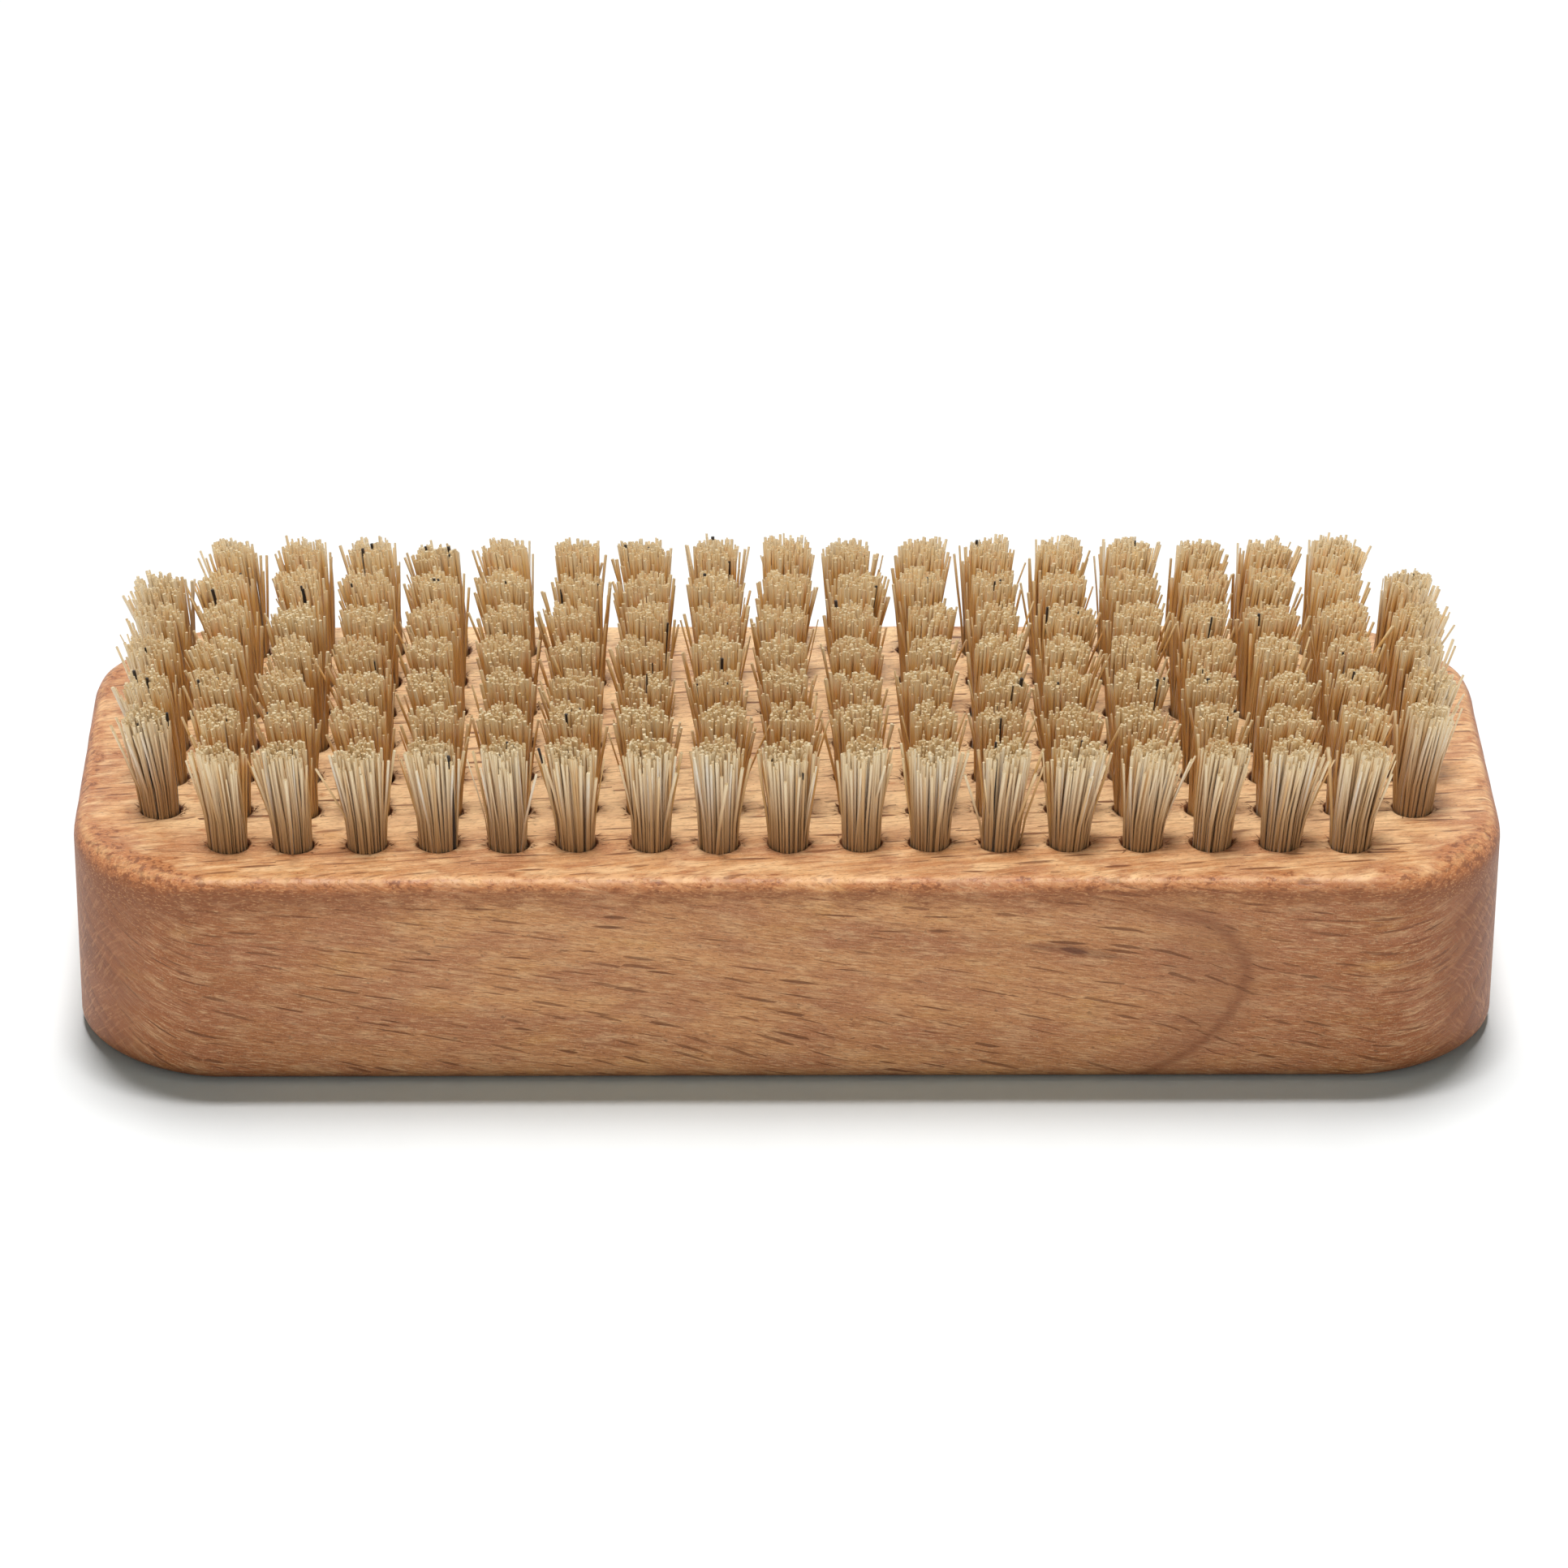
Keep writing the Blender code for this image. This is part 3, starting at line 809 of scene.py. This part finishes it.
def beech_block():
    """The drilled block as one closed mesh, with rounded edges and slightly torn holes"""
    points, faces, edge_marks, rim_and_shade_marks = [], [], [], []

    def add_points(ring, edge=0.0, rim_and_shade=0.0):
        first = len(points)
        points.extend(tuple(map(float, point)) for point in ring)
        edge_marks.extend(np.broadcast_to(edge, len(ring)).tolist())
        rim_and_shade_marks.extend([rim_and_shade] * len(ring))
        return list(range(first, len(points)))

    def join_rings(rings):
        for lower, upper in zip(rings, rings[1:]):
            for a, b, c, d in zip(lower, lower[1:] + lower[:1], upper[1:] + upper[:1], upper):
                faces.append((a, b, c, d))

    rings = [add_points(ring, edge=mark) for ring, mark in block_rings()]
    join_rings(rings)
    faces.append(tuple(reversed(rings[0])))

    inner = rings[-1]
    flat, loops = list(inner), [inner]
    for centre in HOLES.values():
        rings = []
        for radius, rise, tear, rim_and_shade in HOLE_RINGS:
            rings.append(add_points(hole_ring(centre, radius, FACE_HEIGHT + rise, tear), rim_and_shade=rim_and_shade))
        join_rings(rings)
        faces.append(tuple(rings[-1]))
        flat.extend(rings[0])
        loops.append(rings[0])

    centres = np.array(list(HOLES.values()))
    border = np.array([points[index][:2] for index in inner])
    flat.extend(add_points(face_field(centres, border)))
    faces.extend(face_triangles(points, flat, loops, centres, border))

    mesh = bpy.data.meshes.new("beech_block_surface")
    mesh.from_pydata([[c * MM for c in point] for point in points], [], faces)
    for name, values in (("edge", edge_marks), ("rim_and_shade", rim_and_shade_marks)):
        mesh.attributes.new(name, "FLOAT", "POINT").data.foreach_set("value", values)
    mesh.validate()
    mesh.shade_smooth()
    mesh.set_sharp_from_angle(angle=math.radians(50))
    return mesh


def packed_spots(count, rng):
    """Spots for the hairs of one tuft, spread evenly over a unit disc with a little disorder"""
    order = np.arange(count) + 0.5
    radius = np.sqrt(order / count)
    turn = order * math.pi * (3 - math.sqrt(5)) + rng.uniform(0, math.tau)
    spots = np.stack([radius * np.cos(turn), radius * np.sin(turn)], axis=1)
    spots += rng.normal(0, BUNDLE_DISORDER, (count, 2))
    return spots / np.maximum(np.linalg.norm(spots, axis=1, keepdims=True), 1.0)


def tuft_lean(column, row):
    """How far a tuft's top leans out towards the brush's ends and sides"""
    across = column_x(column) / column_x(COLUMNS - 1)
    along = row_y(row) / row_y(ROWS - 1)
    return np.array((END_LEAN * across * (1 + REAR_LEAN_GAIN * along), SIDE_LEAN * along))


def tip_drift(spots, flare, rng):
    """How far each hair's tip lies off its spot, its lock, and whether it is in the fringe or astray"""
    count = len(spots)
    locks = rng.integers(0, count, LOCKS_PER_TUFT)
    lock_of = np.argmin(np.linalg.norm(spots[:, None] - spots[None, locks], axis=2), axis=1)
    pull = (spots[locks][lock_of] - spots) * LOCK_PULL * flare
    drift = pull + rng.normal(0, TIP_DRIFT, (count, 2))
    fringe = (np.hypot(*spots.T) > FRINGE_FROM) & (rng.random(count) < FRINGE_SHARE)
    drift += np.where(fringe, rng.random(count) * FRINGE_REACH, 0.0)[:, None] * spots
    stray = rng.random(count) < STRAY_SHARE
    way = rng.uniform(0, math.tau, count)
    reach = np.where(stray, rng.uniform(STRAY_LEAST_SHARE, 1.0, count) * STRAY_REACH, 0.0)
    drift += reach[:, None] * np.stack([np.cos(way), np.sin(way)], axis=1)
    return drift, lock_of, fringe | stray


def hair_heights(lock_of, loose, rng):
    """Each hair's height over the face: alike within a lock, with some hairs short"""
    count = len(lock_of)
    lock_heights = rng.normal(0, LOCK_HEIGHT_DRIFT, LOCKS_PER_TUFT)
    height = BRISTLE_HEIGHT + lock_heights[lock_of] + rng.normal(0, TIP_HEIGHT_DRIFT, count)
    short = loose | (rng.random(count) < SHORT_SHARE)
    height -= np.where(short, rng.uniform(0.0, 1.0, count) * SHORT_BY, 0.0)
    return np.minimum(height, BRISTLE_TOP_LIMIT)


def outside_share(column, row, spots):
    """How much each hair of a tuft stands on the outer side of the whole brush, 0 to 1"""
    rows = rows_of(column)
    sides = ((row == rows[0], (0, -1)), (row == rows[-1], (0, 1)))
    sides += ((column == 0, (-1, 0)), (column == COLUMNS - 1, (1, 0)))
    ways = [way for outermost, way in sides if outermost]
    if not ways:
        return np.zeros(len(spots))
    outwards = (spots @ np.array(ways).T).max(axis=1)
    inner_reach, full_within = 0.3, 0.7
    return ((outwards + inner_reach) / full_within).clip(0, 1)


def tuft_hairs(column, row, rng):
    """Path points, radii and marks of every hair in one tuft"""
    count = BRISTLES_PER_TUFT + int(rng.integers(-BRISTLES_MORE_OR_LESS, BRISTLES_MORE_OR_LESS + 1))
    centre = np.array(HOLES[column, row])
    spots = packed_spots(count, rng)
    lean = tuft_lean(column, row) + rng.normal(0, TUFT_TILT, 2)
    flare = FLARED_RADIUS * (1 + rng.normal(0, FLARE_SPREAD))
    drift, lock_of, loose = tip_drift(spots, flare, rng)
    base = centre + spots * BUNDLE_RADIUS
    tip = centre + lean + spots * flare + drift
    height = hair_heights(lock_of, loose, rng)
    bend = rng.normal(0, BEND_DRIFT, (count, 2))

    rings = []
    for station in HAIR_STATIONS:
        out = max(station, 0.0)
        bow = 4 * out * (1 - out)
        flat = base + (tip - base) * out ** FLARE_POWER + bend * bow
        level = FACE_HEIGHT + (height * station if station > 0 else BRISTLE_HEIGHT * station)
        rings.append(np.column_stack([flat, np.broadcast_to(level, count)]))
    paths = np.stack(rings, axis=1)

    radius = rng.normal(BRISTLE_RADIUS, BRISTLE_RADIUS_SPREAD, count).clip(*BRISTLE_RADIUS_LIMITS)
    radii = radius[:, None] * np.linspace(1.0, BRISTLE_TIP_SHARE, len(HAIR_STATIONS))[None, :]
    tuft_tint = 0.5 + rng.normal(0, TUFT_TINT_SPREAD)
    marks = {
        "tint": np.clip(rng.normal(tuft_tint, HAIR_TINT_SPREAD, count), 0, 1),
        "black": (rng.random(count) < BLACK_SHARE).astype(float),
        "outside": outside_share(column, row, spots),
    }
    return paths, radii, marks


def hair_faces(rings, sides):
    """Corner indices of one hair's faces: its walls ring by ring, then its two ends"""
    faces = []
    for ring in range(rings - 1):
        for side in range(sides):
            following = (side + 1) % sides
            a, b = ring * sides + side, ring * sides + following
            faces.append((a, b, b + sides, a + sides))
    faces.append(tuple(reversed(range(sides))))
    faces.append(tuple(range((rings - 1) * sides, rings * sides)))
    return faces


def hair_strips(count, rings, sides):
    """Map corners that give every hair a cell of its own: its walls as one strip, its two ends above it"""
    gap = 0.06
    strip_top = 0.82
    end_size = np.array((0.19, 0.05))
    end_middles = ((0.27, 0.92), (0.73, 0.92))
    one_hair = []
    for ring in range(rings - 1):
        for side in range(sides):
            for across, up in ((side, ring), (side + 1, ring), (side + 1, ring + 1), (side, ring + 1)):
                x = gap + (1 - 2 * gap) * across / sides
                one_hair.append((x, gap + (strip_top - gap) * up / (rings - 1)))
    turns = math.tau * np.arange(sides) / sides
    circle = np.column_stack([np.cos(turns), np.sin(turns)]) * end_size
    cell = np.concatenate([one_hair, *(circle + middle for middle in end_middles)])
    cells_across = math.ceil(math.sqrt(count))
    places = np.stack(np.divmod(np.arange(count), cells_across), axis=1)
    return (places[:, None, :] + cell[None, :, :]) / cells_across


def hair_walls(paths, radii, rng):
    """The ring of points round each hair at each of its stations"""
    heading = paths[:, -1] - paths[:, 0]
    heading /= np.linalg.norm(heading, axis=1, keepdims=True)
    right = np.cross((0.0, 1.0, 0.0), heading)
    right /= np.linalg.norm(right, axis=1, keepdims=True)
    back = np.cross(heading, right)
    first_turns = rng.uniform(0, math.tau, len(paths))
    turn = first_turns[:, None] + math.tau * np.arange(BRISTLE_SIDES) / BRISTLE_SIDES
    spokes = np.cos(turn)[..., None] * right[:, None] + np.sin(turn)[..., None] * back[:, None]
    return paths[:, :, None, :] + radii[:, :, None, None] * spokes[:, None, :, :]


def bristle_column(column, material):
    """All the hairs of one column of tufts, as one piece in the place of its CAD node"""
    rng = np.random.default_rng(SEED + 100 + column)
    tufts = [tuft_hairs(column, row, rng) for row in rows_of(column)]
    paths = np.concatenate([tuft[0] for tuft in tufts])
    radii = np.concatenate([tuft[1] for tuft in tufts])
    points = hair_walls(paths, radii, rng)

    count, rings, _ = paths.shape
    one_hair = hair_faces(rings, BRISTLE_SIDES)
    step = rings * BRISTLE_SIDES
    faces = [tuple(c + hair * step for c in face) for hair in range(count) for face in one_hair]
    name = f"bristles_{column + 1:02d}"
    mesh = bpy.data.meshes.new(name)
    mesh.from_pydata((points.reshape(-1, 3) * MM).tolist(), [], faces)
    marks = {"along": np.tile(np.repeat(HAIR_STATIONS, BRISTLE_SIDES), count)}
    for mark in tufts[0][2]:
        marks[mark] = np.repeat(np.concatenate([tuft[2][mark] for tuft in tufts]), step)
    for mark, values in marks.items():
        mesh.attributes.new(mark, "FLOAT", "POINT").data.foreach_set("value", values)
    cut = np.zeros((count, len(one_hair)))
    cut[:, -1] = 1.0
    mesh.attributes.new("cut", "FLOAT", "FACE").data.foreach_set("value", cut.ravel())
    strips = hair_strips(count, rings, BRISTLE_SIDES)
    mesh.uv_layers.new(name="OFBake").data.foreach_set("uv", strips.ravel())
    mesh.shade_smooth()
    mesh.set_sharp_from_angle(angle=math.radians(75))
    mesh.materials.append(material)

    piece = bpy.data.objects.new(name, mesh)
    bpy.context.scene.collection.objects.link(piece)
    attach(piece, "root")
    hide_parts(f"tuft_column_{column + 1:02d}")


def add_block(material):
    """The block in the place of its CAD node"""
    mesh = beech_block()
    mesh.materials.append(material)
    piece = bpy.data.objects.new("block_of_beech", mesh)
    bpy.context.scene.collection.objects.link(piece)
    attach(piece, "root")
    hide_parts("beech_block")


def torn_sliver(centre, side, rng):
    """The four corners of one sliver of wood at the left or right side of a hole"""
    turn = rng.normal(0, SLIVER_TURN)
    out = np.array((side * math.cos(turn), math.sin(turn), 0.0))
    beside = np.array((-out[1], out[0], 0.0)) * rng.uniform(*SLIVER_HALF_WIDTHS)
    setback = HOLE_RADIUS + rng.uniform(0.0, SLIVER_SETBACK)
    root = np.array((*centre, FACE_HEIGHT - SLIVER_SINK)) + out * setback
    heading = out * rng.uniform(*SLIVER_LENGTHS) + beside * rng.uniform(-SLIVER_TWIST, SLIVER_TWIST)
    tip = root + heading + (0, 0, rng.uniform(*SLIVER_RISES))
    return [root - beside, root + beside, root + out * SLIVER_THICKNESS, tip]


def add_torn_fibres(material):
    """Slivers of wood that the drill tore up at both sides of every hole, across the grain's ends"""
    rng = np.random.default_rng(SEED + 2)
    sliver = ((0, 1, 2), (1, 0, 3), (2, 1, 3), (0, 2, 3))
    points, faces, sliver_rim_and_shade = [], [], []
    for centre in HOLES.values():
        for side in (-1, 1):
            for _ in range(rng.integers(SLIVERS[0], SLIVERS[1] + 1)):
                first = len(points)
                points += torn_sliver(centre, side, rng)
                faces += [tuple(first + corner for corner in face) for face in sliver]
                sliver_rim_and_shade += SLIVER_RIM_AND_SHADE
    mesh = bpy.data.meshes.new("torn_fibres")
    mesh.from_pydata([[c * MM for c in point] for point in points], [], faces)
    mesh.attributes.new("rim_and_shade", "FLOAT", "POINT").data.foreach_set("value", sliver_rim_and_shade)
    mesh.materials.append(material)
    piece = bpy.data.objects.new("torn_fibres", mesh)
    bpy.context.scene.collection.objects.link(piece)
    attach(piece, "root")


def seen_rays(graph):
    """1 for the rays that show a background: straight ones, reflections and what passes through"""
    path = graph.add("LightPath").outputs
    seen = graph.maths("MAXIMUM", path["Is Camera Ray"], path["Is Glossy Ray"])
    return graph.maths("MAXIMUM", seen, path["Is Transmission Ray"])


def add_floor():
    """A pale floor that keeps the brush's shadow"""
    half = FLOOR_HALF_WIDTH * MM
    mesh = bpy.data.meshes.new("floor")
    corners = ((-half, -half, 0), (half, -half, 0), (half, half, 0), (-half, half, 0))
    mesh.from_pydata(corners, [], [(0, 1, 2, 3)])
    material, graph, shader = new_material("white_floor")
    tone = (FLOOR_TONE * WARMTH_TAKEN_OFF_FLOOR, FLOOR_TONE, FLOOR_TONE, 1.0)
    shader.inputs["Base Color"].default_value = tone
    shader.inputs["Roughness"].default_value = 1.0
    shader.inputs["Specular IOR Level"].default_value = 0.0
    shader.inputs["Emission Color"].default_value = (1.0, 1.0, 1.0, 1.0)
    graph.feed(shader.inputs["Emission Strength"], graph.times(seen_rays(graph), FLOOR_OWN_LIGHT))
    mesh.materials.append(material)
    floor = bpy.data.objects.new("floor", mesh)
    bpy.context.scene.collection.objects.link(floor)
    return floor


def add_lamp(name, way, energy, angle, floor, link_state):
    """A distant soft lamp that lights either the floor alone or everything but the floor"""
    lamp = bpy.data.lights.new(name, "SUN")
    lamp.energy = energy
    lamp.angle = math.radians(angle)
    sun = bpy.data.objects.new(name, lamp)
    sun.rotation_euler = Vector(way).to_track_quat("Z", "Y").to_euler()
    bpy.context.scene.collection.objects.link(sun)
    lit = bpy.data.collections.new(name + "_receivers")
    lit.objects.link(floor)
    lit.collection_objects[0].light_linking.link_state = link_state
    sun.light_linking.receiver_collection = lit
    return lamp


def add_light(floor):
    """An even sky, a lamp and a dome for the brush, and the floor's own lamps, which draw the shadow:
    a strip of narrow ones gives its edge, and a wide one, lower behind the brush, its soft foot"""
    world = bpy.data.worlds.new("soft_sky")
    world.use_nodes = True
    graph = Graph(world.node_tree)
    background = world.node_tree.nodes["Background"]
    background.inputs["Color"].default_value = (1.0, 1.0, 1.0, 1.0)
    strength = graph.scaled(seen_rays(graph), 1.0 - SKY_LEVEL, SKY_LEVEL)
    graph.feed(background.inputs["Strength"], strength)
    bpy.context.scene.world = world

    add_lamp("brush_lamp", *BRUSH_LAMP, floor, "EXCLUDE")
    add_lamp("dome_lamp", *DOME_LAMP, floor, "EXCLUDE")
    floor_lamps = []
    for spot in range(FLOOR_STRIP_LAMPS):
        way = (FLOOR_STRIP_STEP * (spot - FLOOR_STRIP_LAMPS // 2), FLOOR_STRIP_TILT, 1.0)
        floor_lamps.append((f"floor_strip_{spot + 1}", way, FLOOR_STRIP_ENERGY, FLOOR_STRIP_ANGLE))
    floor_lamps.append(("floor_glow", *FLOOR_GLOW))
    for name, way, energy, angle in floor_lamps:
        lamp = add_lamp(name, way, energy / WARMTH_TAKEN_OFF_FLOOR, angle, floor, "INCLUDE")
        lamp.color = (1.0, WARMTH_TAKEN_OFF_FLOOR, WARMTH_TAKEN_OFF_FLOOR)


def add_camera():
    """The camera at the photograph's viewing angle"""
    data = bpy.data.cameras.new("camera")
    data.sensor_width = SENSOR_WIDTH
    data.lens = FOCAL_PIXELS / PHOTO_SIDE_PIXELS * SENSOR_WIDTH
    data.clip_start = 0.01
    data.clip_end = 20.0
    camera = bpy.data.objects.new("camera", data)
    cosine, sine = math.cos(CAMERA_ELEVATION), math.sin(CAMERA_ELEVATION)
    right = Vector((1, 0, 0))
    up = Vector((0, sine, cosine))
    back = Vector((0, -cosine, sine))
    place = back * CAMERA_DISTANCE - AIM_OFFSET
    rolled_right = right * math.cos(CAMERA_ROLL) + up * math.sin(CAMERA_ROLL)
    rolled_up = up * math.cos(CAMERA_ROLL) - right * math.sin(CAMERA_ROLL)
    turned = Matrix.Rotation(-CAMERA_TURN, 3, "Z")
    axes = [turned @ axis for axis in (rolled_right, rolled_up, back)]
    matrix = Matrix(axes).transposed().to_4x4()
    matrix.translation = (turned @ place + Vector((0, 0, FACE_HEIGHT))) * MM
    camera.matrix_world = matrix
    bpy.context.scene.collection.objects.link(camera)
    bpy.context.scene.camera = camera


bpy.context.scene.view_settings.view_transform = "Standard"
beech = oiled_beech()
add_block(beech)
add_torn_fibres(beech)
bristle = cut_bristle()
for column in range(COLUMNS):
    bristle_column(column, bristle)
add_light(add_floor())
add_camera()
